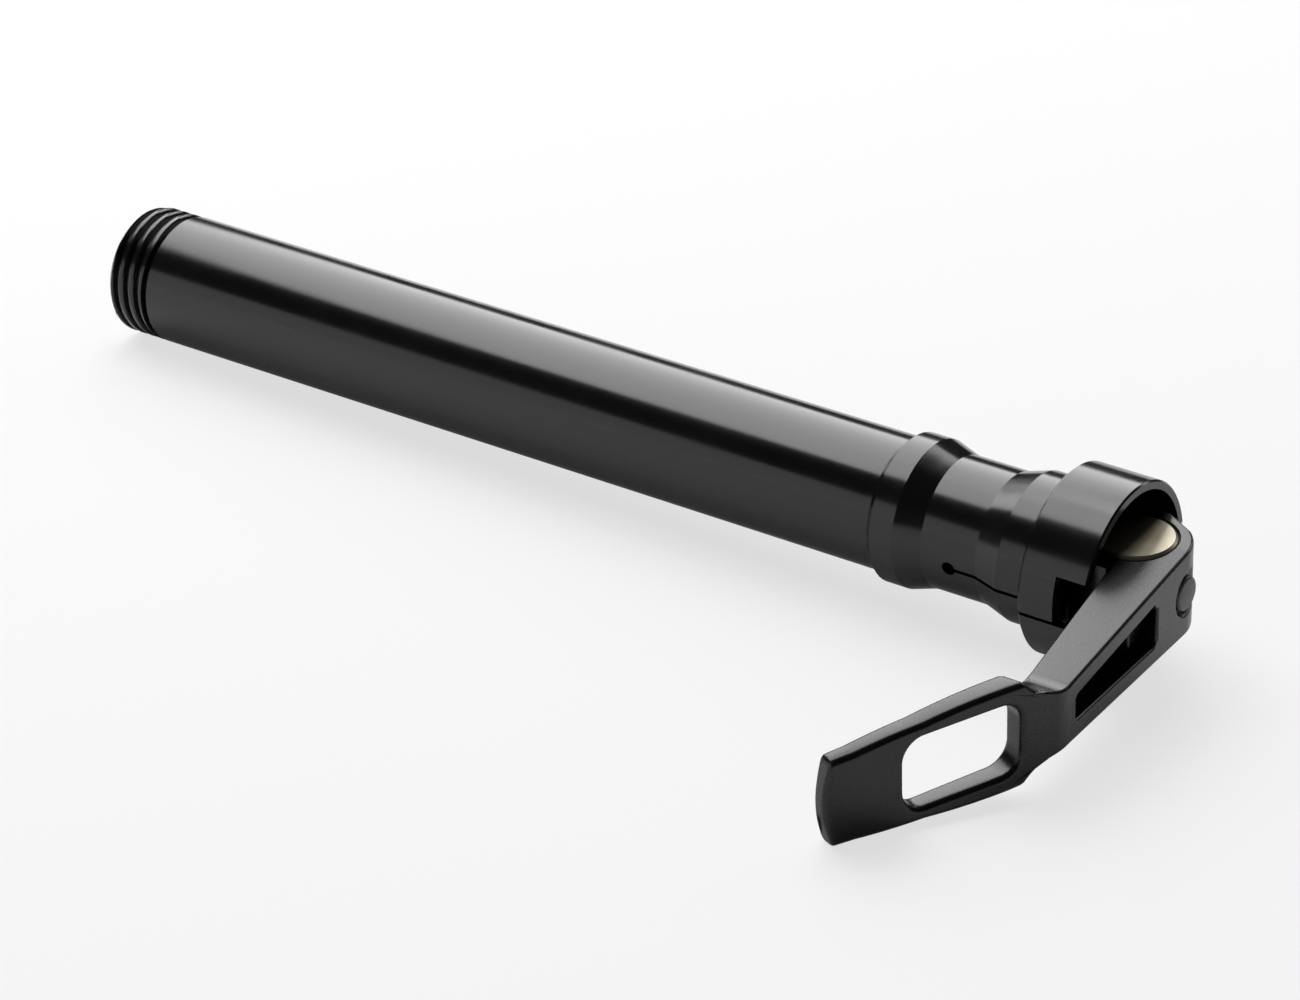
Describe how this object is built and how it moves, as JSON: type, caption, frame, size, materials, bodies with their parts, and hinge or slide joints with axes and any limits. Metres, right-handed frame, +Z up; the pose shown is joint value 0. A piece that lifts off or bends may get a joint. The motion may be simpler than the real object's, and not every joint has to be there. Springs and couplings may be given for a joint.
{
  "type": "bicycle thru axle",
  "caption": "Hollow threaded bicycle wheel axle with a saw-cut expanding collet, a cup head and a bent quick-release cam lever with a finger hole.",
  "frame": {"origin": "on the shank's axis, at the shank-side shoulder of the collar, where the wheel's hub stops", "axes": "+X along the shank towards the head and the lever, -Y towards the tip of the closed lever, +Z up along the lever's pivot axis"},
  "size_m": [0.188, 0.0852, 0.028],
  "materials": {
    "anodised_body": "bead-blasted and black anodised, satin",
    "anodised_lever": "forged, bead-blasted and black anodised, satin",
    "washer_steel": "ground",
    "saddle_plastic": "moulded, matte black",
    "spring_steel": "drawn wire",
    "wedge_aluminium": "turned, clear anodised",
    "plated_nut": "zinc plated",
    "rod_steel": "turned",
    "barrel_bronze": "turned pale bronze, satin",
    "plug_plastic": "moulded, satin black"
  },
  "bodies": {
    "axle": {"axle_body": "anodised_body", "thrust_washer": "washer_steel", "return_spring": "spring_steel"},
    "cam_unit": {"cam_saddle": "saddle_plastic", "draw_rod": "rod_steel", "cam_barrel": "barrel_bronze", "expander_wedge": "wedge_aluminium", "wedge_nut": "plated_nut"},
    "lever": {"lever": "anodised_lever", "hub_plug": "plug_plastic"}
  },
  "joints": [
    {"name": "swivel", "type": "hinge", "parent": "axle", "child": "cam_unit", "pos_m": [0.0254, 0, 0], "axis": [1, 0, 0], "continuous": true},
    {"name": "lever_pivot", "type": "hinge", "parent": "cam_unit", "child": "lever", "pos_m": [0.0375, 0, 0], "axis": [0, 0, 1], "range_deg": [0, 115]}
  ]
}
